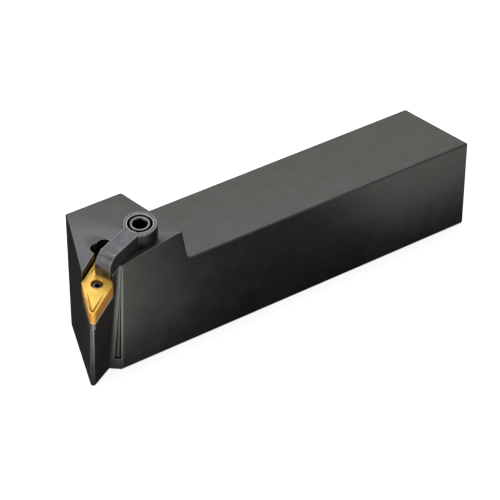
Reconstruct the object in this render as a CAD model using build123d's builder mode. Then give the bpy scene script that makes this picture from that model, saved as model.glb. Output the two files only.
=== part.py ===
"""Right-hand external turning tool holder for a 35 degree rhombic insert.

The shank lies along +X with its back end at X = 0, its mid-width at Y = 0 and
its base on Z = 0. The cutting nose is at the +X, +Y corner of the head.
"""
import os
from math import cos, radians, sin, tan

from build123d import *

# Shank and head, millimetres
shank_width = 32.0
shank_height = 32.0
tool_length = 170.0        # back end of the shank to the cutting nose
nose_reach = 23.4          # mid-width of the shank to the cutting nose
cutting_height = 32.0      # base of the shank to the cutting nose
head_height = 42.75        # base of the shank to the top of the raised head
shank_rounding = 0.8       # on the long edges and round the back end
edge_break = 0.35          # on the other edges of the head, but not round the nose

riser_foot = 125.1         # where the rise to the head starts on the shank
riser_top = 127.7
riser_fillet = 1.2

# Head sides in plan: each is parallel to an edge of the insert, and leans in towards the base
insert_angle = 35.0
bisector_angle = 45.0      # the insert points halfway between the two feed directions
front_angle = bisector_angle + insert_angle / 2
flank_angle = bisector_angle - insert_angle / 2
front_start = 148.5        # X of the front face at the far side of the base
front_lean = 2.2           # degrees
flank_inset = 3.2          # near flank at the base, inside the insert's edge
flank_lean = 4.6           # degrees
step_start = 151.9         # X where the near side ends and the step begins
nose_facet = 1.28          # width of the flat that cuts off the sharp nose below the seat

# Seat: one tilt serves the ramp, the pocket, the clamp and its stud
seat_tilt = 13.5           # degrees down towards the nose
ramp_height = 3.0          # ramp above the top of the insert
near_wall_gap = 0.02       # the insert bears on this wall of the pocket
far_wall_gap = 0.45

# Insert
inscribed_circle = 9.525
insert_thickness = 4.76
nose_radius = 1.2
obtuse_radius = 0.5
insert_hole = 3.81
hole_chamfer = 0.25
breaker_land = 0.3         # flat land along the cutting edges
breaker_width = 0.85       # groove between the land and the raised middle
breaker_start = 3.6        # from the middle of the insert to where the groove begins
breaker_dip = 2.0          # degrees that its floor falls towards the corner

# Shim
shim_thickness = 3.18
shim_circle = 9.3
shim_chamfer = 0.35
shim_hole = 5.8

# Relief at the back corner of the pocket: two drilled lobes, each (along, across, radius)
lobes = [(-12.8, -1.45, 2.3), (-14.35, 0.7, 2.8)]
lobe_extra_depth = 0.5

# Relief groove in the step face, beside the root of the near flank: it narrows as it rises
groove_radius = 1.05       # at its floor
groove_tip_radius = 0.12
groove_floor = 4.0         # height of its end above the base
groove_top = 37.5          # height where it runs out
groove_top_inset = 0.5     # from the near side, at the top
groove_foot_inset = 1.55   # from the near side, at the floor

# Lock pin
pin_head = 3.2
pin_drop = 0.7             # its top below the top of the insert
pin_chamfer = 0.2
pin_collar = 5.6
pin_thread = 5.0
pin_thread_length = 9.0
pin_socket = 2.0           # across flats
pin_socket_depth = 2.2

# Clamp: a round boss with an arm that ends in a finger
boss_place = (-19.7, 11.5)  # on the seat, from the middle of the insert
arm_turn = -31.0           # degrees from the seat's own axis
boss_radius = 5.65
clamp_thickness = 5.5
clamp_gap = 0.05
arm_half_width = 3.1
finger_half_width = 2.9
bend_start = 15.75         # from the boss to where the finger turns down
bend_crease = 15.0         # degrees that the finger's curved face starts below the flat top
finger_reach = 19.8
finger_skew = 0.5          # the near corner of the finger stands this much further back
land_length = 1.5
underside_end = 16.5      # where the underside starts to drop to the insert
finger_clearance = 0.25    # to the near wall of the pocket
contact_gap = 0.02         # finger to insert
neck_fillet = 1.2
clamp_edge = 0.35

# Clamp stud: left-hand thread in the clamp, right-hand thread in the holder
stud_diameter = 8.0
stud_length = 22.0
stud_sink = 0.05           # top of the stud below the top of the clamp
stud_chamfer = 0.6
stud_neck = 6.6            # plain end above the thread
stud_neck_length = 2.0
stud_socket = 4.0          # across flats
stud_socket_depth = 4.5
stud_socket_mouth = 5.1    # countersunk
thread_clearance = 0.05    # on the radius
bore_chamfer = 0.15

half_width = shank_width / 2
half_long = inscribed_circle / 2 / sin(radians(insert_angle / 2))
bisector = Vector(cos(radians(bisector_angle)), sin(radians(bisector_angle)), 0)
across = Vector(-sin(radians(bisector_angle)), cos(radians(bisector_angle)), 0)
seat_x = bisector * cos(radians(seat_tilt)) - Vector(0, 0, 1) * sin(radians(seat_tilt))
seat_z = bisector * sin(radians(seat_tilt)) + Vector(0, 0, 1) * cos(radians(seat_tilt))
nose_centre = Vector(tool_length - nose_radius, nose_reach - nose_radius, cutting_height)
nose_setback = half_long - nose_radius / sin(radians(insert_angle / 2))
insert_centre = nose_centre - seat_x * nose_setback

seat = Plane(origin=insert_centre, x_dir=seat_x, z_dir=seat_z)   # top of the insert
shim_top = seat.offset(-insert_thickness)
pocket_floor = seat.offset(-insert_thickness - shim_thickness)
ramp = seat.offset(ramp_height)


def rhombus(circle):
    """Corners of the insert's outline about an inscribed circle, nose first."""
    long_half = circle / 2 / sin(radians(insert_angle / 2))
    short_half = circle / 2 / cos(radians(insert_angle / 2))
    return [(long_half, 0), (0, short_half), (-long_half, 0), (0, -short_half)]


def meet(point, angle, other, other_angle):
    """Where two lines in plan cross, each given by a point and a direction in degrees."""
    ux, uy = cos(radians(angle)), sin(radians(angle))
    vx, vy = cos(radians(other_angle)), sin(radians(other_angle))
    run = ((other[0] - point[0]) * vy - (other[1] - point[1]) * vx) / (ux * vy - uy * vx)
    return (point[0] + ux * run, point[1] + uy * run)


def head_outline(height):
    """Plan of the head at a height: its front face and near flank lean out as they rise."""
    front_out = height * tan(radians(front_lean))
    front = (front_start + front_out / sin(radians(front_angle)), -half_width)
    obtuse = insert_centre + across * (inscribed_circle / 2 / cos(radians(insert_angle / 2)))
    flank_in = flank_inset - height * tan(radians(flank_lean))
    flank = (obtuse.X + flank_in * sin(radians(flank_angle)),
             obtuse.Y - flank_in * cos(radians(flank_angle)))
    step = (step_start, half_width)
    step_angle = bisector_angle - 90
    riser = riser_foot + (height - shank_height) * (riser_top - riser_foot) / (head_height - shank_height)
    return [
        (riser, -half_width),
        front,
        meet(front, front_angle, flank, flank_angle),
        meet(flank, flank_angle, step, step_angle),
        step,
        (riser, half_width),
    ]


with BuildPart() as holder_body:
    # Head: a ruled loft between its outline at the base and at the top
    with BuildSketch(Plane.XY):
        Polygon(*head_outline(0), align=None)
    with BuildSketch(Plane.XY.offset(head_height)):
        Polygon(*head_outline(head_height), align=None)
    loft(ruled=True)
    nose_edge = holder_body.edges().sort_by(Axis((0, 0, 0), tuple(bisector)))[-1]
    chamfer(nose_edge, nose_facet / 2 / sin(radians(insert_angle / 2)))

    # Shank
    with BuildSketch(Plane.YZ.offset(riser_foot)):
        with Locations((0, shank_height / 2)):
            Rectangle(shank_width, shank_height)
    extrude(amount=-riser_foot)
    riser_root = holder_body.edges().filter_by(Axis.Y).sort_by_distance((riser_foot, 0, shank_height))[0]
    fillet(riser_root, riser_fillet)
    long_edges = holder_body.edges().filter_by(Axis.X).filter_by_position(Axis.X, 0, riser_foot)
    back_edges = holder_body.faces().sort_by(Axis.X)[0].edges()
    fillet(long_edges + back_edges, shank_rounding)

    # Ramp that falls towards the nose, perpendicular to the insert's long axis
    with BuildSketch(ramp):
        Rectangle(3 * half_long, 4 * half_long)
    extrude(amount=head_height, mode=Mode.SUBTRACT)

    # Broken edges. The crease is the top's longest edge and the ramp's first; the ramp's last two
    # are at the nose. Rounding them in order from the far side is what the corners need.
    head_faces = holder_body.faces()
    top_edges = head_faces.sort_by(Axis.Z)[-1].edges().sort_by(SortBy.LENGTH)[:-1]
    base_edges = head_faces.sort_by(Axis.Z)[0].edges().filter_by_position(Axis.X, riser_top, tool_length)
    corners = head_faces.filter_by(Axis.Y).edges().filter_by(GeomType.BSPLINE)
    corners = corners.filter_by_position(Axis.X, riser_top, tool_length)
    ramp_edges = head_faces.sort_by_distance(ramp.origin)[0].edges()
    ramp_edges = ramp_edges.sort_by(Axis((0, 0, 0), tuple(bisector)))[1:4]
    fillet((top_edges + base_edges + corners + ramp_edges).sort_by(Axis.Y), edge_break)

    # V-shaped pocket for the shim and the insert, open towards the nose
    with BuildSketch(pocket_floor):
        far_wall = (-half_long, -far_wall_gap / cos(radians(insert_angle / 2)))
        near_wall = (-half_long, near_wall_gap / cos(radians(insert_angle / 2)))
        mouth = (2 * half_long, 0)
        Polygon(
            meet(far_wall, -insert_angle / 2, near_wall, insert_angle / 2),
            meet(far_wall, -insert_angle / 2, mouth, 90),
            meet(near_wall, insert_angle / 2, mouth, 90),
            align=None,
        )
    extrude(amount=head_height, mode=Mode.SUBTRACT)
    with BuildSketch(pocket_floor.offset(-lobe_extra_depth)):
        for along, sideways, radius in lobes:
            with Locations((along, sideways)):
                Circle(radius)
    extrude(amount=head_height, mode=Mode.SUBTRACT)

    # Groove in the step face: a leaning cut that tapers upwards from a small floor
    step_corner = Vector(step_start, half_width, 0)
    foot = step_corner - across * groove_foot_inset + Vector(0, 0, groove_floor)
    tip = step_corner - across * groove_top_inset + Vector(0, 0, groove_top)
    with BuildSketch(Plane(origin=foot, z_dir=tip - foot)):
        Circle(groove_radius)
    with BuildSketch(Plane(origin=tip, z_dir=tip - foot)):
        Circle(groove_tip_radius)
    loft(mode=Mode.SUBTRACT)

    # Tapped holes for the lock pin and the clamp stud
    with BuildSketch(pocket_floor):
        Circle(pin_thread / 2 + thread_clearance)
    extrude(amount=-pin_thread_length - 2, mode=Mode.SUBTRACT)
    with BuildSketch(ramp):
        with Locations(boss_place):
            Circle(stud_diameter / 2 + thread_clearance)
    extrude(amount=-(stud_length - clamp_thickness) - 3, mode=Mode.SUBTRACT)

with BuildPart() as shim:
    with BuildSketch(pocket_floor) as shim_outline:
        Polygon(*rhombus(shim_circle), align=None)
        fillet(shim_outline.vertices().group_by(Axis.Y)[1], nose_radius)
        Circle(shim_hole / 2, mode=Mode.SUBTRACT)
    extrude(amount=shim_thickness)
    shim_rim = shim.faces().sort_by(Axis((0, 0, 0), tuple(seat_z)))[-1].outer_wire().edges()
    chamfer(shim_rim, shim_chamfer)

with BuildPart() as insert:
    with BuildSketch(shim_top) as insert_outline:
        Polygon(*rhombus(inscribed_circle), align=None)
        fillet(insert_outline.vertices().group_by(Axis.Y)[1], nose_radius)
        fillet(insert_outline.vertices().group_by(Axis.Y)[-1], obtuse_radius)
        fillet(insert_outline.vertices().group_by(Axis.Y)[0], obtuse_radius)
    extrude(amount=insert_thickness)
    # Chip breaker at each acute corner: a V-shaped groove inside the land, deepest at the corner
    for end in (0, 180):
        dip = Location((0, 0, 0), (0, 0, end)) * Location((breaker_start, 0, 0), (0, breaker_dip, 0))
        with BuildSketch(seat * dip) as breaker_floor:
            with Locations((-breaker_start, 0)):
                Polygon(*rhombus(inscribed_circle - 2 * breaker_land), align=None)
                fillet(breaker_floor.vertices().group_by(Axis.Y)[1], nose_radius - breaker_land)
                Polygon(
                    *rhombus(inscribed_circle - 2 * (breaker_land + breaker_width)),
                    align=None,
                    mode=Mode.SUBTRACT,
                )
        extrude(amount=insert_thickness, mode=Mode.SUBTRACT)
    with BuildSketch(shim_top):
        Circle(insert_hole / 2)
    extrude(amount=insert_thickness, mode=Mode.SUBTRACT)
    chamfer(insert.edges().filter_by(GeomType.CIRCLE).sort_by(Axis((0, 0, 0), tuple(seat_z)))[-1],
            hole_chamfer)

with BuildPart() as lock_pin:
    pin_length = insert_thickness - pin_drop
    with BuildSketch(pocket_floor.offset(-pin_thread_length)):
        Circle(pin_thread / 2)
    extrude(amount=pin_thread_length)
    with BuildSketch(pocket_floor.offset(thread_clearance)):
        Circle(pin_collar / 2)
    extrude(amount=shim_thickness - 2 * thread_clearance)
    with BuildSketch(pocket_floor.offset(-thread_clearance)):
        Circle(pin_thread / 2)
    extrude(amount=2 * thread_clearance)
    with BuildSketch(shim_top.offset(-thread_clearance)):
        Circle(pin_head / 2)
    extrude(amount=pin_length + thread_clearance)
    pin_rim = lock_pin.edges().filter_by(GeomType.CIRCLE).sort_by(Axis((0, 0, 0), tuple(seat_z)))[-1]
    chamfer(pin_rim, pin_chamfer)
    with BuildSketch(seat.offset(-pin_drop)):
        RegularPolygon(pin_socket / 2, 6, major_radius=False)
    extrude(amount=-pin_socket_depth, mode=Mode.SUBTRACT)

boss_centre = (ramp * Location((boss_place[0], boss_place[1], clamp_gap))).position
arm_x = seat_x * cos(radians(arm_turn)) + across * sin(radians(arm_turn))
arm_plane = Plane(origin=boss_centre, x_dir=arm_x, z_dir=seat_z)
arm_y = arm_plane.y_dir
finger_drop = ramp_height + clamp_gap

with BuildPart() as clamp:
    # Plan: round boss, parallel arm, finger with a slightly skewed end
    with BuildSketch(arm_plane.offset(-finger_drop)) as clamp_plan:
        Circle(boss_radius)
        with BuildLine():
            Polyline(
                (0, -arm_half_width),
                (bend_start, -finger_half_width),
                (finger_reach, -finger_half_width),
            )
            ThreePointArc(
                (finger_reach, -finger_half_width),
                (finger_reach, 0),
                (finger_reach - finger_skew, finger_half_width),
            )
            Polyline(
                (finger_reach - finger_skew, finger_half_width),
                (bend_start, finger_half_width),
                (0, arm_half_width),
                (0, -arm_half_width),
            )
        make_face()
        necks = clamp_plan.vertices().filter_by_position(Axis.X, boss_radius / 2, boss_radius)
        fillet(necks, neck_fillet)
    extrude(amount=finger_drop + clamp_thickness)
    # Side view: flat top, rounded finger, underside that drops to the insert
    with BuildSketch(Plane(origin=boss_centre, x_dir=arm_x, z_dir=-arm_y)):
        with BuildLine():
            Polyline(
                (underside_end, 0),
                (-boss_radius, 0),
                (-boss_radius, clamp_thickness),
                (bend_start, clamp_thickness),
            )
            bend_radius = (finger_reach - bend_start) / (1 - sin(radians(bend_crease)))
            bend_middle = radians((90 + bend_crease) / 2)
            bend_drop = clamp_thickness - bend_radius * cos(radians(bend_crease))
            ThreePointArc(
                (bend_start, clamp_thickness),
                (finger_reach - bend_radius * (1 - sin(bend_middle)), bend_drop + bend_radius * cos(bend_middle)),
                (finger_reach, bend_drop),
            )
            Polyline(
                (finger_reach, bend_drop),
                (finger_reach, contact_gap - finger_drop),
                (finger_reach - land_length, contact_gap - finger_drop),
                (underside_end, 0),
            )
        make_face()
    extrude(amount=boss_radius, both=True, mode=Mode.INTERSECT)
    # Below the ramp the finger stands inside the pocket, clear of its near wall
    with BuildSketch(seat):
        wall_run = tan(radians(insert_angle / 2))
        wall_gap = finger_clearance / cos(radians(insert_angle / 2))
        Polygon(
            (-half_long, -wall_gap),
            (half_long, 2 * half_long * wall_run - wall_gap),
            (half_long, 2 * half_long),
            (-half_long, 2 * half_long),
            align=None,
        )
    extrude(amount=ramp_height + clamp_gap, mode=Mode.SUBTRACT)
    clamp_top = clamp.faces().filter_by(GeomType.PLANE).sort_by(Axis((0, 0, 0), tuple(seat_z)))[-1]
    outline = clamp_top.outer_wire().edges()
    crease = outline.sort_by(Axis((0, 0, 0), tuple(arm_x)))[-1]
    fillet(outline - [crease], clamp_edge)
    with BuildSketch(arm_plane):
        Circle(stud_diameter / 2 + thread_clearance)
    extrude(amount=clamp_thickness, mode=Mode.SUBTRACT)
    chamfer(clamp.edges().filter_by(GeomType.CIRCLE).sort_by(Axis((0, 0, 0), tuple(seat_z)))[-1],
            bore_chamfer)

with BuildPart() as clamp_stud:
    stud_top = arm_plane.offset(clamp_thickness - stud_sink)
    with BuildSketch(stud_top.offset(-stud_neck_length)):
        Circle(stud_diameter / 2)
    extrude(amount=stud_neck_length - stud_length)
    chamfer(clamp_stud.edges().filter_by(GeomType.CIRCLE), stud_chamfer)
    with BuildSketch(stud_top):
        Circle(stud_neck / 2)
    extrude(amount=-stud_neck_length)
    with BuildSketch(stud_top):
        RegularPolygon(stud_socket / 2, 6, major_radius=False)
    extrude(amount=-stud_socket_depth, mode=Mode.SUBTRACT)
    with BuildSketch(stud_top):
        Circle(stud_socket_mouth / 2)
    extrude(amount=-(stud_socket_mouth - stud_socket) / 2, taper=45, mode=Mode.SUBTRACT)

pieces = {
    "holder_body": holder_body,
    "shim": shim,
    "insert": insert,
    "lock_pin": lock_pin,
    "clamp": clamp,
    "clamp_stud": clamp_stud,
}
os.makedirs("parts", exist_ok=True)
for name, piece in pieces.items():
    piece.part.label = name
    export_step(piece.part, f"parts/{name}.step")
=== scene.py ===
"""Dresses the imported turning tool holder.

It adds worn edges, cut threads and machined finishes, and sets a studio round the tool.
"""
from math import atan2, cos, pi, radians, sin, sqrt, tan

import bmesh
import bpy
from mathutils import Matrix, Vector


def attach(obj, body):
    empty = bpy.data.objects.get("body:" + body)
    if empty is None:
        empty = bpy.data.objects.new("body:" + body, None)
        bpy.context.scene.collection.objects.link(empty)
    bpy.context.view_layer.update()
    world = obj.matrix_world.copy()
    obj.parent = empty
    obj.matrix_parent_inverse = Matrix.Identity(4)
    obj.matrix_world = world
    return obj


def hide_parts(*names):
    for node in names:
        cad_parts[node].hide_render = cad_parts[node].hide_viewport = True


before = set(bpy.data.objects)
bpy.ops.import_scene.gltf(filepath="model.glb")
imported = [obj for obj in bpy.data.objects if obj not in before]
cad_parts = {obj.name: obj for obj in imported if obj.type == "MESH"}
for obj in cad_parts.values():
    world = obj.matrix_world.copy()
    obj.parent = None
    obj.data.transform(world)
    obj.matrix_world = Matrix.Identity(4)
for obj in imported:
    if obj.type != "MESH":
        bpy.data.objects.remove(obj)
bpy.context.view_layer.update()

MM = 0.001

# ---------------------------------------------------------------------------------------------
# Camera: a long lens, near, left and above the nose
# ---------------------------------------------------------------------------------------------
camera_place = Vector((0.620112, 0.615159, 0.498012))
camera_right = Vector((-0.762768, 0.646312, 0.021603))
camera_up = Vector((-0.316580, -0.402336, 0.859013))
camera_lens = 202.96
camera_sensor = 36.0
camera_reach = 20.0


def make_camera():
    data = bpy.data.cameras.new("studio_camera")
    data.lens = camera_lens
    data.sensor_width = camera_sensor
    data.clip_end = camera_reach
    camera = bpy.data.objects.new("studio_camera", data)
    bpy.context.scene.collection.objects.link(camera)
    turn = Matrix((camera_right, camera_up, camera_right.cross(camera_up))).transposed()
    camera.matrix_world = Matrix.Translation(camera_place) @ turn.to_4x4()
    bpy.context.scene.camera = camera


# ---------------------------------------------------------------------------------------------
# Measures of the pieces, as in their source, in millimetres
# ---------------------------------------------------------------------------------------------
insert_angle = 35.0
seat_tilt = 13.5
inscribed_circle = 9.525
insert_thickness = 4.76
nose_radius = 1.2
obtuse_radius = 0.5
insert_hole = 3.81
hole_chamfer = 0.25
base_edge = 0.1
edge_hone = 0.06
breaker_land = 0.3
breaker_width = 0.85
breaker_start = 3.6
breaker_dip = radians(2.0)
# Across the chip breaker: (share of its width, share of its depth), steepest up to the middle
breaker_form = [(0.06, 0.25), (0.16, 0.62), (0.3, 0.9), (0.46, 1.0), (0.62, 1.0), (0.72, 0.85),
                (0.81, 0.5), (0.9, 0.16), (1.0, 0.0)]
# The steep wall, painted brown as shade: its shares of the width, and the depth from which the
# painted shade is full
wall_shares = (0.7, 0.95)
wall_depth = 0.1
shim_thickness = 3.18
ramp_height = 3.0
boss_place = (-19.7, 11.5)
arm_turn = radians(-31.0)
clamp_thickness = 5.5
clamp_gap = 0.05
stud_sink = 0.05
finger_side = 2.9
finger_end = 19.8
bend_start = 15.75
collar_gap = 0.05
pin_sink = 0.7
nose_centre = Vector((170.0 - nose_radius, 23.4 - nose_radius, 32.0))

half_angle = radians(insert_angle / 2)
bisector = Vector((cos(radians(45)), sin(radians(45)), 0))
across = Vector((-sin(radians(45)), cos(radians(45)), 0))
seat_x = bisector * cos(radians(seat_tilt)) - Vector((0, 0, 1)) * sin(radians(seat_tilt))
seat_z = bisector * sin(radians(seat_tilt)) + Vector((0, 0, 1)) * cos(radians(seat_tilt))
half_long = inscribed_circle / 2 / sin(half_angle)
insert_centre = nose_centre - seat_x * (half_long - nose_radius / sin(half_angle))


# ---------------------------------------------------------------------------------------------
# Colours and nodes
# ---------------------------------------------------------------------------------------------
# Sockets of a colour Mix node, whose names are shared with its other types
MIX_A, MIX_B, MIXED = 6, 7, 2


def linear(code):
    """Linear RGBA of an sRGB hex colour."""
    parts = [int(code[i:i + 2], 16) / 255 for i in (1, 3, 5)]
    return [p / 12.92 if p <= 0.04045 else ((p + 0.055) / 1.055) ** 2.4 for p in parts] + [1.0]


def add(tree, kind, links=None, stops=(), **settings):
    """A new node. settings are its properties, and links maps its inputs to values or sockets.

    stops are a colour ramp's (position, hex colour).
    """
    node = tree.nodes.new(kind)
    for name, value in settings.items():
        setattr(node, name, value)
    for name, value in (links or {}).items():
        socket = node.inputs[name]
        if isinstance(value, bpy.types.NodeSocket):
            tree.links.new(value, socket)
        else:
            socket.default_value = value
    if stops:
        elements = node.color_ramp.elements
        while len(elements) < len(stops):
            elements.new(0.5)
        for element, (position, code) in zip(elements, stops):
            element.position = position
            element.color = linear(code)
    return node


def make_material(name, constants, piece_frame=None):
    """A material whose shader has the given constants, with its tree, shader and coordinates.

    They are Object coordinates in metres, or in millimetres of piece_frame where one is given.
    """
    material = bpy.data.materials.new(name)
    material.use_nodes = True
    tree = material.node_tree
    tree.nodes.clear()
    shader = add(tree, "ShaderNodeBsdfPrincipled", constants)
    add(tree, "ShaderNodeOutputMaterial", {"Surface": shader.outputs["BSDF"]})
    place = add(tree, "ShaderNodeTexCoord").outputs["Object"]
    if piece_frame is not None:
        origin, turn, _ = piece_frame.decompose()
        place = add(tree, "ShaderNodeMapping", {
            "Vector": place, "Location": origin, "Rotation": turn.to_euler(), "Scale": (MM, MM, MM),
        }, vector_type="TEXTURE").outputs["Vector"]
    return material, tree, shader, place


# ---------------------------------------------------------------------------------------------
# Meshes
# ---------------------------------------------------------------------------------------------
# Pieces look smooth up to CREASE. In a copy of a CAD node, corners within WELD are one, faces
# that turn by less than FLAT are one, and only edges that turn by more than SHARP are broken
CREASE = radians(30)
WELD = 0.0002 * MM
FLAT = radians(0.6)
SHARP = radians(25)
break_steps = 3


def on_seat(along, sideways, height, turn=0.0):
    """The matrix, into metres, of a place on the insert's top that is given in millimetres."""
    place = insert_centre + seat_x * along + across * sideways + seat_z * height
    axes = Matrix((seat_x, across, seat_z)).transposed().to_4x4()
    return Matrix.Scale(MM, 4) @ Matrix.Translation(place) @ axes @ Matrix.Rotation(turn, 4, "Z")


def show(name, mesh, body, finish, node):
    """Makes the piece that stands for a CAD node, smooth but for its creases."""
    mesh.materials.clear()
    mesh.materials.append(finish)
    mesh.shade_smooth()
    mesh.set_sharp_from_angle(angle=CREASE)
    piece = bpy.data.objects.new(name, mesh)
    bpy.context.scene.collection.objects.link(piece)
    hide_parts(node)
    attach(piece, body)


def worn(node, piece_frame, breaks):
    """A copy of a CAD node with chosen sharp edges rounded.

    breaks are (width, test of an edge's middle and ends), in piece_frame's millimetres.
    """
    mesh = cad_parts[node].data.copy()
    shape = bmesh.new()
    shape.from_mesh(mesh)
    bmesh.ops.remove_doubles(shape, verts=shape.verts, dist=WELD)
    bmesh.ops.dissolve_limit(shape, angle_limit=FLAT, verts=shape.verts, edges=shape.edges,
                             delimit={"NORMAL"})
    shape.transform(piece_frame.inverted())
    for width, test in breaks:
        chosen = []
        for line in shape.edges:
            start, end = (corner.co for corner in line.verts)
            convex = line.is_convex and line.calc_face_angle(0) > SHARP
            if convex and test((start + end) / 2, start, end):
                chosen.append(line)
        bmesh.ops.bevel(shape, geom=chosen, offset=width, offset_type="OFFSET",
                        segments=break_steps, profile=0.5, affect="EDGES", clamp_overlap=False,
                        miter_outer="SHARP")
    shape.transform(piece_frame)
    shape.to_mesh(mesh)
    shape.free()
    return mesh


def lathe(rows, steps):
    """A closed body of revolution in millimetres.

    rows are (radius, height, sides), from pole to pole. With sides, a row is a regular polygon,
    and radius is half of its width across flats.
    """
    mesh = bpy.data.meshes.new("turned")
    shape = bmesh.new()
    rings = []
    for radius, height, sides in rows:
        ring = []
        for step in range(steps if radius else 1):
            turn = 2 * pi * step / steps
            reach = radius
            if sides:
                reach = radius / cos((turn + pi / sides) % (2 * pi / sides) - pi / sides)
            ring.append(shape.verts.new((reach * cos(turn), reach * sin(turn), height)))
        rings.append(ring)
    for low, high in zip(rings, rings[1:]):
        for step in range(steps):
            after = (step + 1) % steps
            if len(low) == 1:
                shape.faces.new((low[0], high[after], high[step]))
            elif len(high) == 1:
                shape.faces.new((low[step], low[after], high[0]))
            else:
                shape.faces.new((low[step], low[after], high[after], high[step]))
    bmesh.ops.recalc_face_normals(shape, faces=shape.faces)
    shape.to_mesh(mesh)
    shape.free()
    return mesh


# ---------------------------------------------------------------------------------------------
# Threads
# ---------------------------------------------------------------------------------------------
# Flat crest and flat root, as shares of the pitch, with 60 degree flanks between them
thread_crest = 1 / 8
thread_root = 1 / 4
rows_per_pitch = 16


def thread_tree():
    """Geometry Nodes that cut a thread into the outside of a turned body that stands on Z."""
    tree = bpy.data.node_groups.new("cut_thread", "GeometryNodeTree")
    sockets = tree.interface
    sockets.new_socket("Geometry", in_out="INPUT", socket_type="NodeSocketGeometry")
    for name in ("Pitch", "Depth", "Top", "Bottom", "Major Radius", "Socket Radius", "Hand"):
        sockets.new_socket(name, in_out="INPUT", socket_type="NodeSocketFloat")
    sockets.new_socket("Material", in_out="INPUT", socket_type="NodeSocketMaterial")
    sockets.new_socket("Geometry", in_out="OUTPUT", socket_type="NodeSocketGeometry")
    given = add(tree, "NodeGroupInput").outputs
    place = add(tree, "GeometryNodeInputPosition").outputs["Position"]
    parts = add(tree, "ShaderNodeSeparateXYZ", {"Vector": place}).outputs
    flat = add(tree, "ShaderNodeCombineXYZ", {"X": parts["X"], "Y": parts["Y"]}).outputs[0]
    radius = add(tree, "ShaderNodeVectorMath", {0: flat}, operation="LENGTH").outputs["Value"]
    angle = add(tree, "ShaderNodeMath", {0: parts["Y"], 1: parts["X"]},
                operation="ARCTAN2").outputs[0]
    turns = add(tree, "ShaderNodeMath", {0: angle, 1: 2 * pi}, operation="DIVIDE").outputs[0]
    lead = add(tree, "ShaderNodeMath", {0: turns, 1: given["Hand"]},
               operation="MULTIPLY").outputs[0]
    rise = add(tree, "ShaderNodeMath", {0: parts["Z"], 1: given["Pitch"]},
               operation="DIVIDE").outputs[0]
    phase = add(tree, "ShaderNodeMath", {0: rise, 1: lead}, operation="SUBTRACT").outputs[0]
    # From the crest's middle, 0, to the root's middle, half a pitch away
    wave = add(tree, "ShaderNodeMath", {0: phase, 1: 0.5}, operation="PINGPONG").outputs[0]
    groove = add(tree, "ShaderNodeMapRange", {
        "Value": wave, "From Min": thread_crest / 2, "From Max": 0.5 - thread_root / 2,
        "To Max": given["Depth"],
    }).outputs["Result"]
    # The groove runs out over one pitch at both ends
    below = add(tree, "ShaderNodeMath", {0: given["Top"], 1: parts["Z"]},
                operation="SUBTRACT").outputs[0]
    above = add(tree, "ShaderNodeMath", {0: parts["Z"], 1: given["Bottom"]},
                operation="SUBTRACT").outputs[0]
    room = add(tree, "ShaderNodeMath", {0: below, 1: above}, operation="MINIMUM").outputs[0]
    fade = add(tree, "ShaderNodeMapRange", {
        "Value": room, "From Max": given["Pitch"],
    }).outputs["Result"]
    depth = add(tree, "ShaderNodeMath", {0: groove, 1: fade}, operation="MULTIPLY").outputs[0]
    form = add(tree, "ShaderNodeMath", {0: given["Major Radius"], 1: depth},
               operation="SUBTRACT").outputs[0]
    cut = add(tree, "ShaderNodeMath", {0: radius, 1: form}, operation="MINIMUM").outputs[0]
    scale = add(tree, "ShaderNodeMath", {0: cut, 1: radius}, operation="DIVIDE").outputs[0]
    inward = add(tree, "ShaderNodeVectorMath", {0: flat, "Scale": scale},
                 operation="SCALE").outputs["Vector"]
    height = add(tree, "ShaderNodeCombineXYZ", {"Z": parts["Z"]}).outputs[0]
    moved = add(tree, "ShaderNodeVectorMath", {0: inward, 1: height},
                operation="ADD").outputs["Vector"]
    outside = add(tree, "FunctionNodeCompare", {"A": radius, "B": given["Socket Radius"]},
                  data_type="FLOAT", operation="GREATER_THAN").outputs["Result"]
    carved = add(tree, "GeometryNodeSetPosition", {
        "Geometry": given["Geometry"], "Selection": outside, "Position": moved,
    }).outputs["Geometry"]
    real = add(tree, "GeometryNodeRealizeInstances", {"Geometry": carved}).outputs["Geometry"]
    coated = add(tree, "GeometryNodeSetMaterial", {
        "Geometry": real, "Material": given["Material"],
    }).outputs["Geometry"]
    add(tree, "NodeGroupOutput", {"Geometry": coated})
    return tree


thread_cutter = thread_tree()


def cut_threads(mesh, threads, finish):
    """mesh with threads cut into it. threads are values of the cutter's inputs, by name."""
    blank = bpy.data.objects.new("blank", mesh)
    bpy.context.scene.collection.objects.link(blank)
    for number, values in enumerate(threads):
        cutter = blank.modifiers.new(f"thread_{number}", "NODES")
        cutter.node_group = thread_cutter
        for socket in thread_cutter.interface.items_tree:
            if socket.in_out == "INPUT" and socket.name in values:
                cutter[socket.identifier] = values[socket.name]
            elif socket.in_out == "INPUT" and socket.name == "Material":
                cutter[socket.identifier] = finish
    graph = bpy.context.evaluated_depsgraph_get()
    cut = bpy.data.meshes.new_from_object(blank.evaluated_get(graph))
    bpy.data.objects.remove(blank)
    return cut


def threaded_rows(top, bottom, radius, pitch):
    """Close rows for lathe where a thread is cut, from top down."""
    count = round((top - bottom) / pitch * rows_per_pitch)
    return [(radius, top + (bottom - top) * i / count, 0) for i in range(count + 1)]


# ---------------------------------------------------------------------------------------------
# Insert
# ---------------------------------------------------------------------------------------------
# Points round half of the nose and along an edge, and rows down the flank and the hole
corner_steps = 14
edge_steps = 48
side_depths = (1.2, 2.4, 3.6)
flat_shares = (0.1, 0.25, 0.45, 0.65, 0.85)


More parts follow.
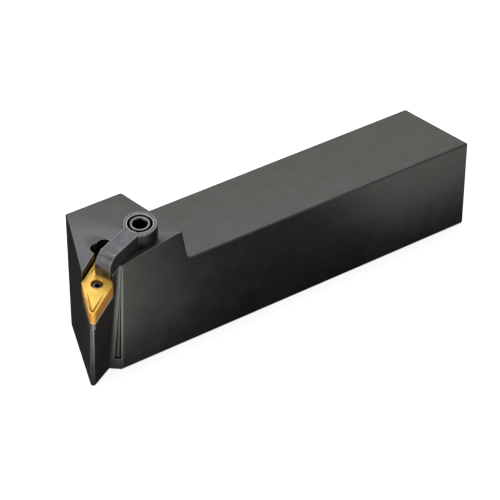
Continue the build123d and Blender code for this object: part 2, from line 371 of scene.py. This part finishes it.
def edge_reach(turn, inset):
    """How far the insert's outline, moved in by inset, lies from its middle in a direction."""
    side, end = abs(sin(turn)), abs(cos(turn))
    inner = inscribed_circle / 2 - inset
    reach = inner / (end * sin(half_angle) + side * cos(half_angle))
    nose_middle = (inscribed_circle / 2 - nose_radius) / sin(half_angle)
    nose = max(nose_radius - inset, 0)
    if nose and reach * end > nose_middle + nose * sin(half_angle):
        return nose_middle * end + sqrt(nose ** 2 - (nose_middle * side) ** 2)
    blunt_middle = (inscribed_circle / 2 - obtuse_radius) / cos(half_angle)
    blunt = max(obtuse_radius - inset, 0)
    if blunt and reach * side > blunt_middle + blunt * cos(half_angle):
        return blunt_middle * side + sqrt(blunt ** 2 - (blunt_middle * end) ** 2)
    return reach


def insert_turns():
    """Directions from the insert's middle, close round its corners and even along its edges."""
    nose_middle = (inscribed_circle / 2 - nose_radius) / sin(half_angle)
    blunt_middle = (inscribed_circle / 2 - obtuse_radius) / cos(half_angle)
    first = Vector((nose_middle + nose_radius * sin(half_angle), nose_radius * cos(half_angle)))
    last = Vector((obtuse_radius * sin(half_angle), blunt_middle + obtuse_radius * cos(half_angle)))
    points = []
    for step in range(corner_steps):
        swing = (pi / 2 - half_angle) * step / corner_steps
        points.append(Vector((nose_middle + nose_radius * cos(swing), nose_radius * sin(swing))))
    points += [first.lerp(last, step / edge_steps) for step in range(edge_steps + 1)]
    quarter = [atan2(point.y, point.x) for point in points]
    half = quarter + [pi / 2] + [pi - turn for turn in reversed(quarter[1:])]
    return half + [turn + pi for turn in half]


def insert_mesh():
    """The insert as one closed grid: flank, honed edge, land, chip breaker, hole and underside."""
    bore = insert_hole / 2
    rim = bore + hole_chamfer
    inner = breaker_land + breaker_width
    # Rows of (inset from the outline, height): lower edge, flank, honed edge, land, chip breaker
    edge_rows = [(base_edge, -insert_thickness), (0.0, -insert_thickness + base_edge)]
    edge_rows += [(0.0, -depth) for depth in (*reversed(side_depths), 0.4, edge_hone)]
    edge_rows += [(0.3 * edge_hone, -0.3 * edge_hone), (edge_hone, 0.0), (breaker_land, 0.0)]
    edge_rows += [(breaker_land + breaker_width * share, -drop) for share, drop in breaker_form]
    # Rows of (radius, height): the hole's rounded chamfer, and the hole down to the underside
    hole_rows = [(rim, 0.0), (rim - 0.08, -0.02), (bore + 0.05, -hole_chamfer + 0.05)]
    hole_rows += [(bore, -depth) for depth in (hole_chamfer + 0.05, *side_depths, insert_thickness)]

    shape = bmesh.new()
    # The breaker_wall attribute masks the painted shade on the chip breaker's steep wall
    wall = shape.verts.layers.float.new("breaker_wall")
    wall_start, wall_end = (breaker_land + breaker_width * share for share in wall_shares)
    turns = insert_turns()
    rings = []
    for inset, height in edge_rows:
        ring = []
        for turn in turns:
            reach = edge_reach(turn, inset)
            x, y = reach * cos(turn), reach * sin(turn)
            if breaker_land < inset <= inner:
                # The groove starts at a distance from the middle and dips towards the corner
                dip = max(abs(x) - breaker_start, 0) * tan(breaker_dip)
                ring.append(shape.verts.new((x, y, height * dip)))
                on_wall = wall_start < inset < wall_end
                ring[-1][wall] = min(dip / wall_depth, 1) if on_wall else 0
            else:
                ring.append(shape.verts.new((x, y, height)))
        rings.append(ring)
    # The flat top, by shares of the way from the chip breaker to the hole
    for share in flat_shares:
        reaches = [edge_reach(turn, inner) * (1 - share) + rim * share for turn in turns]
        rings.append([shape.verts.new((r * cos(t), r * sin(t), 0)) for r, t in zip(reaches, turns)])
    for radius, height in hole_rows:
        rings.append([shape.verts.new((radius * cos(t), radius * sin(t), height)) for t in turns])
    for low, high in zip(rings, rings[1:] + rings[:1]):
        for step in range(len(turns)):
            after = (step + 1) % len(turns)
            shape.faces.new((low[step], low[after], high[after], high[step]))
    bmesh.ops.recalc_face_normals(shape, faces=shape.faces)
    shape.transform(on_seat(0, 0, 0))
    mesh = bpy.data.meshes.new("insert")
    shape.to_mesh(mesh)
    shape.free()
    return mesh


# ---------------------------------------------------------------------------------------------
# Materials. The scale of a pattern is its count to a millimetre
# ---------------------------------------------------------------------------------------------
# How far away, in millimetres, a wall still closes a slot in
slot_reach = 3.0
# Share of open air: the painted shade of slots fades out over the first pair, and the painted edge
# highlight sets in over the second
shaded_air = (0.4, 0.58)
highlight_air = (0.7, 0.9)
# Cosine between the true and the rounded normal, from no painted edge highlight to a full one
edge_lean = (0.9985, 0.95)
# Colour of the painted shade in slots, gaps and inner corners
slot_shade = "#191817"


def paint_shade_and_highlights(tree, shader, colour, highlight, reach):
    """Painted highlights on outer edges, up to reach (mm) from them, and painted shade in slots,
    gaps and inner corners.
    """
    open_air = add(tree, "ShaderNodeAmbientOcclusion", {"Distance": slot_reach * MM},
                   samples=8, only_local=True).outputs["AO"]
    soft = add(tree, "ShaderNodeBevel", {"Radius": reach * MM}, samples=6).outputs["Normal"]
    hard = add(tree, "ShaderNodeNewGeometry").outputs["Normal"]
    same = add(tree, "ShaderNodeVectorMath", {0: soft, 1: hard},
               operation="DOT_PRODUCT").outputs["Value"]
    edge = add(tree, "ShaderNodeMapRange", {
        "Value": same, "From Min": edge_lean[0], "From Max": edge_lean[1],
    }).outputs["Result"]
    outer = add(tree, "ShaderNodeMapRange", {
        "Value": open_air, "From Min": highlight_air[0], "From Max": highlight_air[1],
    }).outputs["Result"]
    # Painted highlight: outer edges in open air, where the rounded normal leans, are lightened
    edge_highlight = add(tree, "ShaderNodeMath", {0: edge, 1: outer}, operation="MULTIPLY").outputs[0]
    # Painted shade: slots, gaps and inner corners that ambient occlusion finds closed in are
    # darkened
    unshaded = add(tree, "ShaderNodeMapRange", {
        "Value": open_air, "From Min": shaded_air[0], "From Max": shaded_air[1],
    }).outputs["Result"]
    slot_shaded = add(tree, "ShaderNodeMix", {
        "Factor": unshaded, MIX_A: linear(slot_shade), MIX_B: colour,
    }, data_type="RGBA").outputs[MIXED]
    tone = add(tree, "ShaderNodeMix", {
        "Factor": edge_highlight, MIX_A: slot_shaded, MIX_B: linear(highlight),
    }, data_type="RGBA").outputs[MIXED]
    tree.links.new(tone, shader.inputs["Base Color"])


def ground_black_oxide():
    """Black oxide on ground tool steel: a warm grey satin, faintly mottled, finely lined."""
    material, tree, shader, place = make_material("black_oxide_on_ground_steel", {"Metallic": 1.0})
    # Mottle from the oxide bath, patches about 6 mm across with finer ones down to 0.5 mm
    cloud = add(tree, "ShaderNodeTexNoise", {
        "Vector": place, "Scale": 0.16 / MM, "Detail": 4.0, "Roughness": 0.65,
    }).outputs["Fac"]
    colour = add(tree, "ShaderNodeValToRGB", {"Fac": cloud}, stops=[
        (0.3, "#5D5C58"), (0.5, "#63625F"), (0.72, "#686764"),
    ]).outputs["Color"]
    # Painted shade darkens slots and inner corners, and a painted highlight lightens the outer
    # edges
    paint_shade_and_highlights(tree, shader, colour, highlight="#A6A5A2", reach=0.45)
    # Grinding lines along the shank, drawn 0.4 mm apart, coarser than real ones so that they show
    along = add(tree, "ShaderNodeMapping", {
        "Vector": place, "Scale": (0.06 / MM, 2.4 / MM, 2.4 / MM),
    }).outputs["Vector"]
    lines = add(tree, "ShaderNodeTexNoise", {
        "Vector": along, "Scale": 1.0, "Detail": 3.0,
    }).outputs["Fac"]
    # Grain of the oxide, drawn 0.3 mm wide, coarser than the real one so that it shows
    grain = add(tree, "ShaderNodeTexNoise", {
        "Vector": place, "Scale": 3.3 / MM, "Detail": 2.0,
    }).outputs["Fac"]
    height = add(tree, "ShaderNodeMath", {0: lines, 1: grain}, operation="ADD").outputs[0]
    bump = add(tree, "ShaderNodeBump", {
        "Height": height, "Strength": 0.12, "Distance": 0.02 * MM,
    }).outputs["Normal"]
    tree.links.new(bump, shader.inputs["Normal"])
    rough = add(tree, "ShaderNodeMapRange", {
        "Value": cloud, "From Min": 0.3, "From Max": 0.7, "To Min": 0.38, "To Max": 0.46,
    }).outputs["Result"]
    tree.links.new(rough, shader.inputs["Roughness"])
    return material


def milled_black_oxide():
    """Black oxide on a milled clamp: the same satin, with cutter lines across the arm."""
    material, tree, shader, local = make_material(
        "black_oxide_on_milled_steel", {"Metallic": 1.0, "Roughness": 0.42}, arm_frame,
    )
    cloud = add(tree, "ShaderNodeTexNoise", {
        "Vector": local, "Scale": 0.5, "Detail": 4.0,
    }).outputs["Fac"]
    # Cutter lines across the arm, drawn 0.5 mm apart, coarser than real ones so that they show
    across_arm = add(tree, "ShaderNodeMapping", {
        "Vector": local, "Scale": (2.0, 0.15, 0.15),
    }).outputs["Vector"]
    lines = add(tree, "ShaderNodeTexNoise", {
        "Vector": across_arm, "Scale": 1.0, "Detail": 3.0,
    }).outputs["Fac"]
    tone = add(tree, "ShaderNodeMix", {"Factor": 0.45, "A": cloud, "B": lines},
               data_type="FLOAT").outputs["Result"]
    milled = add(tree, "ShaderNodeValToRGB", {"Fac": tone}, stops=[
        (0.32, "#515150"), (0.5, "#60605E"), (0.68, "#6F6F6C"),
    ]).outputs["Color"]
    # The boss's wall is painted darker as shade, from its top's edge down and as far as the arm
    parts = add(tree, "ShaderNodeSeparateXYZ", {"Vector": local}).outputs
    under = add(tree, "ShaderNodeMapRange", {
        "Value": parts["Z"], "From Min": clamp_thickness - 0.2, "From Max": clamp_thickness - 0.5,
    }).outputs["Result"]
    boss = add(tree, "ShaderNodeMapRange", {
        "Value": parts["X"], "From Min": 6.5, "From Max": 4.5,
    }).outputs["Result"]
    shaded_boss_wall = add(tree, "ShaderNodeMath", {0: under, 1: boss}, operation="MULTIPLY").outputs[0]
    colour = add(tree, "ShaderNodeMix", {
        "Factor": shaded_boss_wall, MIX_A: milled, MIX_B: linear("#3E3E3D"),
    }, data_type="RGBA").outputs[MIXED]
    # Painted shade darkens slots and inner corners, and a painted highlight lightens the outer
    # edges
    paint_shade_and_highlights(tree, shader, colour, highlight="#B4B3B0", reach=0.7)
    bump = add(tree, "ShaderNodeBump", {
        "Height": lines, "Strength": 0.35, "Distance": 0.05 * MM,
    }).outputs["Normal"]
    tree.links.new(bump, shader.inputs["Normal"])
    return material


def gold_coating():
    """Titanium nitride on sintered carbide: warm gold satin, with painted shade, darker and deeper
    orange, on the flanks.
    """
    material, tree, shader, local = make_material(
        "gold_nitride_on_carbide", {"Metallic": 0.58, "Roughness": 0.43}, seat_frame,
    )
    cloud = add(tree, "ShaderNodeTexNoise", {
        "Vector": local, "Scale": 0.45, "Detail": 3.0,
    }).outputs["Fac"]
    top = add(tree, "ShaderNodeValToRGB", {"Fac": cloud}, stops=[
        (0.34, "#F6BC50"), (0.5, "#FCCA5E"), (0.66, "#FFD468"),
    ]).outputs["Color"]
    # Painted shade: the flank is a darker, more orange copy of the top's gold
    flank = add(tree, "ShaderNodeValToRGB", {"Fac": cloud}, stops=[
        (0.34, "#CA8A38"), (0.66, "#DC9E46"),
    ]).outputs["Color"]
    # The flanks' painted shade sets in from 0.1 to 0.3 mm below the top
    depth = add(tree, "ShaderNodeSeparateXYZ", {"Vector": local}).outputs["Z"]
    side = add(tree, "ShaderNodeMapRange", {
        "Value": depth, "From Min": -0.1, "From Max": -0.3,
    }).outputs["Result"]
    colour = add(tree, "ShaderNodeMix", {
        "Factor": side, MIX_A: top, MIX_B: flank,
    }, data_type="RGBA").outputs[MIXED]
    # The chip breaker's steep wall is painted brown as shade, so that its thin dark line shows from
    # afar
    wall = add(tree, "ShaderNodeAttribute", attribute_name="breaker_wall").outputs["Fac"]
    lined = add(tree, "ShaderNodeMix", {
        "Factor": wall, MIX_A: colour, MIX_B: linear("#7A4614"),
    }, data_type="RGBA").outputs[MIXED]
    tree.links.new(lined, shader.inputs["Base Color"])
    # Sintered grain, drawn 0.17 mm wide, coarser than the real one so that it shows
    grain = add(tree, "ShaderNodeTexNoise", {
        "Vector": local, "Scale": 6.0, "Detail": 2.0,
    }).outputs["Fac"]
    bump = add(tree, "ShaderNodeBump", {
        "Height": grain, "Strength": 0.15, "Distance": 0.02 * MM,
    }).outputs["Normal"]
    tree.links.new(bump, shader.inputs["Normal"])
    return material


def ground_carbide():
    """Ground tungsten carbide: dark flanks, with painted highlights at the nose and on the top's
    broken edge.
    """
    material, tree, shader, local = make_material(
        "ground_tungsten_carbide", {"Metallic": 0.6, "Roughness": 0.38}, seat_frame,
    )
    parts = add(tree, "ShaderNodeSeparateXYZ", {"Vector": local}).outputs
    # A painted highlight on the broken edge, full down to 0.4 mm below the shim's top, and gone by
    # 0.55 mm
    rim = add(tree, "ShaderNodeMapRange", {
        "Value": parts["Z"], "From Min": -insert_thickness - 0.55,
        "From Max": -insert_thickness - 0.4,
    }).outputs["Result"]
    # A painted highlight on the tip too, a fifth as strong
    nose = add(tree, "ShaderNodeMapRange", {
        "Value": parts["X"], "From Min": 12.2, "From Max": 12.5, "To Max": 0.2,
    }).outputs["Result"]
    bright = add(tree, "ShaderNodeMath", {0: rim, 1: nose}, operation="MAXIMUM").outputs[0]
    # Grinding texture, drawn 0.4 mm wide, coarser than the real one so that it shows
    grain = add(tree, "ShaderNodeTexNoise", {
        "Vector": local, "Scale": 2.5, "Detail": 2.0,
    }).outputs["Fac"]
    flank = add(tree, "ShaderNodeValToRGB", {"Fac": grain}, stops=[
        (0.35, "#2E2D2C"), (0.65, "#3A3937"),
    ]).outputs["Color"]
    # Colours of the painted highlight
    highlight = add(tree, "ShaderNodeValToRGB", {"Fac": grain}, stops=[
        (0.35, "#CFCDCA"), (0.65, "#E6E4E1"),
    ]).outputs["Color"]
    colour = add(tree, "ShaderNodeMix", {
        "Factor": bright, MIX_A: flank, MIX_B: highlight,
    }, data_type="RGBA").outputs[MIXED]
    tree.links.new(colour, shader.inputs["Base Color"])
    return material


def screw_steel(name, screw_frame, bright):
    """Black oxide screw whose end face, of colour bright, is worn to the steel by the wrench."""
    material, tree, shader, local = make_material(
        name, {"Metallic": 1.0, "Roughness": 0.33}, screw_frame,
    )
    # The oxide is whole from 0.3 mm below the end face, and worn off from 0.1 mm up
    depth = add(tree, "ShaderNodeSeparateXYZ", {"Vector": local}).outputs["Z"]
    worn_off = add(tree, "ShaderNodeMapRange", {
        "Value": depth, "From Min": -0.3, "From Max": -0.1,
    }).outputs["Result"]
    # Scuffs about 0.25 mm wide
    scuffs = add(tree, "ShaderNodeTexNoise", {
        "Vector": local, "Scale": 4.0, "Detail": 3.0,
    }).outputs["Fac"]
    oxide = add(tree, "ShaderNodeValToRGB", {"Fac": scuffs}, stops=[
        (0.35, "#2E2D2C"), (0.65, "#3C3B3A"),
    ]).outputs["Color"]
    steel = add(tree, "ShaderNodeValToRGB", {"Fac": scuffs}, stops=[
        (0.35, bright), (0.65, "#83827F"),
    ]).outputs["Color"]
    colour = add(tree, "ShaderNodeMix", {
        "Factor": worn_off, MIX_A: oxide, MIX_B: steel,
    }, data_type="RGBA").outputs[MIXED]
    tree.links.new(colour, shader.inputs["Base Color"])
    return material


seat_frame = on_seat(0, 0, 0)
arm_frame = on_seat(*boss_place, ramp_height + clamp_gap, arm_turn)
stud_frame = on_seat(*boss_place, ramp_height + clamp_gap + clamp_thickness - stud_sink, arm_turn)
pin_end_frame = on_seat(0, 0, -pin_sink)

black_oxide = ground_black_oxide()
clamp_oxide = milled_black_oxide()
gold_nitride = gold_coating()
carbide = ground_carbide()
stud_steel = screw_steel("black_oxide_stud_with_bright_end", stud_frame, "#6C6C69")
pin_steel = screw_steel("black_oxide_pin_with_bright_end", pin_end_frame, "#7A7A78")


# ---------------------------------------------------------------------------------------------
# Pieces
# ---------------------------------------------------------------------------------------------
# Widths of the broken edges
rim_break, strip_break, finger_break, foot_break, front_break = 0.1, 0.1, 0.22, 0.2, 0.15
# How near an edge's end lies to the plane that the edge is told by
near = 0.02
# The pocket lies in front of pocket_back, and within pocket_half of the middle of the seat
pocket_back, pocket_half = -18, 7
# The flat's edges lie in front of strip_back, and no other edge there is so long
strip_back, strip_length = 8, 20
# The finger's edges lie past its bend and above its foot, and those of its end are upright
bend_margin, above_foot, end_margin, end_height = 0.6, 0.2, 0.6, 2


def pocket_rim(middle, start, end):
    """Tops of the pocket's walls and lobes, where they come through the ramp."""
    level = abs(start.z - ramp_height) < near and abs(end.z - ramp_height) < near
    return level and middle.x > pocket_back and abs(middle.y) < pocket_half


def nose_strip(middle, start, end):
    """The two upright edges of the flat below the nose."""
    return middle.x > strip_back and (end - start).length > strip_length


def finger_top(middle, start, end):
    """The two sides of the finger's curved face."""
    along_side = abs(abs(start.y) - finger_side) < near and abs(abs(end.y) - finger_side) < near
    return along_side and middle.x > bend_start + bend_margin and middle.z > above_foot


def clamp_foot(middle, start, end):
    """The outline of the clamp's underside, up to the finger."""
    return middle.x < bend_start and abs(start.z) < near and abs(end.z) < near


def finger_front(middle, start, end):
    """The upright corners of the finger's end."""
    upright = abs(start.z - end.z) > end_height and abs(abs(middle.y) - finger_side) < near
    return upright and middle.x > finger_end - end_margin


show(
    "holder_body_ground",
    worn("holder_body", seat_frame, [(rim_break, pocket_rim), (strip_break, nose_strip)]),
    "holder", black_oxide, "holder_body",
)
show(
    "clamp_forged",
    worn("clamp", arm_frame, [
        (finger_break, finger_top), (foot_break, clamp_foot), (front_break, finger_front),
    ]),
    "clamp", clamp_oxide, "clamp",
)
show("insert_pressed", insert_mesh(), "holder", gold_nitride, "insert")

# Clamp stud, from its end face down: left-hand thread in the clamp, right-hand thread in the head
stud_radius, stud_pitch, stud_depth, stud_core = 4.0, 1.25, 0.72, 2.9
stud_steps = 96
stud_rows = [
    # Hexagon socket and its rounded mouth
    (0, -4.5, 0), (2.1, -4.5, 6), (2.1, -2.5, 6), (2.1, -0.5, 6), (2.5, -0.15, 0), (2.65, 0, 0),
    # Bright ring, plain neck and shoulder
    (3.12, 0, 0), (3.25, -0.05, 0), (3.3, -0.18, 0), (3.3, -1.95, 0), (3.4, -2.0, 0),
    (3.6, -2.2, 0), (3.8, -2.4, 0),
    *threaded_rows(-2.6, -21.4, stud_radius, stud_pitch),
    # Chamfered lower end
    (3.8, -21.6, 0), (3.6, -21.8, 0), (3.4, -22.0, 0), (0, -22.0, 0),
]
stud_threads = [
    {"Pitch": stud_pitch, "Depth": stud_depth, "Top": top, "Bottom": bottom,
     "Major Radius": stud_radius, "Socket Radius": stud_core, "Hand": hand}
    for top, bottom, hand in ((-0.9, -7.0, -1.0), (-7.0, -23.2, 1.0))
]
stud_mesh = cut_threads(lathe(stud_rows, stud_steps), stud_threads, stud_steel)
stud_mesh.transform(stud_frame)
show("clamp_stud_threaded", stud_mesh, "stud", stud_steel, "clamp_stud")

# Lock pin, by its depth below the insert's top
pin_radius, pin_pitch, pin_depth, pin_core = 2.5, 0.8, 0.46, 1.9
pin_steps = 72
collar_top = -insert_thickness - collar_gap
collar_base = -insert_thickness - shim_thickness + collar_gap
pin_rows = [
    # Hexagon socket and its rounded mouth
    (0, -2.9, 0), (0.85, -2.9, 6), (0.85, -1.8, 6), (0.85, -0.85, 6), (0.98, -0.74, 0),
    (1.04, -pin_sink, 0),
    # Bright ring, chamfer and head in the insert's hole
    (1.3, -pin_sink, 0), (1.36, -0.73, 0), (1.55, -0.98, 0), (1.6, -1.06, 0), (1.6, collar_top, 0),
    # Collar in the shim, with broken edges
    (2.7, collar_top, 0), (2.8, collar_top - 0.1, 0), (2.8, collar_base + 0.1, 0),
    (2.7, collar_base, 0), (2.0, collar_base, 0),
    # Neck, thread in the holder and chamfered end
    (2.0, -8.3, 0), (2.25, -8.55, 0),
    *threaded_rows(-8.8, -16.5, pin_radius, pin_pitch),
    (2.3, -16.7, 0), (2.1, -16.94, 0), (0, -16.94, 0),
]
pin_threads = [
    {"Pitch": pin_pitch, "Depth": pin_depth, "Top": -7.75, "Bottom": -17.8,
     "Major Radius": pin_radius, "Socket Radius": pin_core, "Hand": 1.0},
]
pin_mesh = cut_threads(lathe(pin_rows, pin_steps), pin_threads, pin_steel)
pin_mesh.transform(seat_frame)
show("lock_pin_threaded", pin_mesh, "pin", pin_steel, "lock_pin")

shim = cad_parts["shim"].data
shim.materials.clear()
shim.materials.append(carbide)


# ---------------------------------------------------------------------------------------------
# Studio: pale floor, soft sky, soft boxes and small cards
# ---------------------------------------------------------------------------------------------
floor_half = 4.0
# Brightness of the sky by height, from straight down, 0, over the horizon, 0.5, to overhead, 1
sky_stops = [
    (0.0, "#343434"), (0.49, "#343434"), (0.51, "#7C7C7C"), (0.66, "#7C7C7C"),
    (0.69, "#A0A0A0"), (0.84, "#A0A0A0"), (0.86, "#C8C8C8"), (1.0, "#C8C8C8"),
]
nose_place = Vector((0.160, 0.014, 0.030))
shank_place = Vector((0.100, 0.0, 0.035))
# Square soft boxes: name, what they light, their place from it, side, power and colour
soft_boxes = [
    ("top_box", nose_place, (-0.334, -0.418, 0.844), 0.6, 1.95, "#E2EAFF"),
    ("back_box", shank_place, (-0.620, -0.713, 0.562), 0.7, 0.74, "#FFF4E6"),
    ("right_box", nose_place, (0.838, -0.135, 0.297), 0.4, 1.7, "#FFFFFF"),
    ("finger_box", nose_place, (0.325, -0.175, 0.710), 0.3, 1.0, "#FFFFFF"),
]
# Cards on the table that light the nose's steep sides from below: name, place, aim, size, power
nose_cards = [
    ("nose_card", (0.215, 0.075, 0.003), (0.18, 0.04, 0.05), (0.06, 0.06), 0.006),
    ("strip_card", (0.184, 0.037, 0.002), (0.166, 0.019, 0.014), (0.024, 0.024), 0.0045),
    ("finger_card", (0.27, -0.02, 0.003), (0.165, 0.012, 0.04), (0.1, 0.08), 0.036),
]
# Cards in a row beside the shank: place along it, length and power
shank_cards = [(-0.035, 0.09, 0.013), (0.055, 0.09, 0.0012), (0.12, 0.04, 0.0042),
               (0.15, 0.04, 0.019)]
# The row's place across and above the floor, what it aims at, and its width
row_place, row_aim, row_width = (0.075, 0.003), (0.04, 0.05), 0.05


def make_floor():
    """The table. The steel doesn't mirror it, because so much white would wash the steel out."""
    mesh = bpy.data.meshes.new("floor")
    corners = [(-floor_half, -floor_half, 0), (floor_half, -floor_half, 0),
               (floor_half, floor_half, 0), (-floor_half, floor_half, 0)]
    mesh.from_pydata(corners, [], [(0, 1, 2, 3)])
    floor = bpy.data.objects.new("floor", mesh)
    bpy.context.scene.collection.objects.link(floor)
    # Matt white paper, lit from below as on a light table
    paper, *_ = make_material("matt_white_paper", {
        "Base Color": linear("#F4F4F4"), "Roughness": 0.9, "Specular IOR Level": 0.1,
        "Emission Color": linear("#FFFFFF"), "Emission Strength": 0.7,
    })
    mesh.materials.append(paper)
    floor.visible_glossy = False


def make_sky():
    """A soft dome, dark below the horizon and brighter overhead."""
    world = bpy.data.worlds.new("studio_dome")
    bpy.context.scene.world = world
    world.use_nodes = True
    tree = world.node_tree
    tree.nodes.clear()
    direction = add(tree, "ShaderNodeTexCoord").outputs["Generated"]
    height = add(tree, "ShaderNodeSeparateXYZ", {"Vector": direction}).outputs["Z"]
    unit = add(tree, "ShaderNodeMapRange", {
        "Value": height, "From Min": -1.0, "From Max": 1.0,
    }).outputs["Result"]
    colour = add(tree, "ShaderNodeValToRGB", {"Fac": unit}, stops=sky_stops).outputs["Color"]
    light = add(tree, "ShaderNodeBackground", {"Color": colour, "Strength": 1.0})
    add(tree, "ShaderNodeOutputWorld", {"Surface": light.outputs["Background"]})


def soft_light(name, place, aim, size, power, code="#FFFFFF"):
    """A glowing rectangle at place that faces aim, and isn't seen itself."""
    data = bpy.data.lights.new(name, "AREA")
    data.shape = "RECTANGLE"
    data.size, data.size_y = size
    data.energy = power
    data.color = linear(code)[:3]
    lamp = bpy.data.objects.new(name, data)
    bpy.context.scene.collection.objects.link(lamp)
    lamp.location = place
    lamp.rotation_euler = (Vector(aim) - Vector(place)).to_track_quat("-Z", "Y").to_euler()
    lamp.visible_camera = False


make_camera()
make_floor()
make_sky()
for name, aim, away, side, power, code in soft_boxes:
    soft_light(name, aim + Vector(away), aim, (side, side), power, code)
for name, place, aim, size, power in nose_cards:
    soft_light(name, place, aim, size, power)
for number, (along, length, power) in enumerate(shank_cards):
    soft_light(f"shank_card_{number}", (along, *row_place), (along, *row_aim),
               (length, row_width), power)

bpy.context.scene.view_settings.view_transform = "Standard"
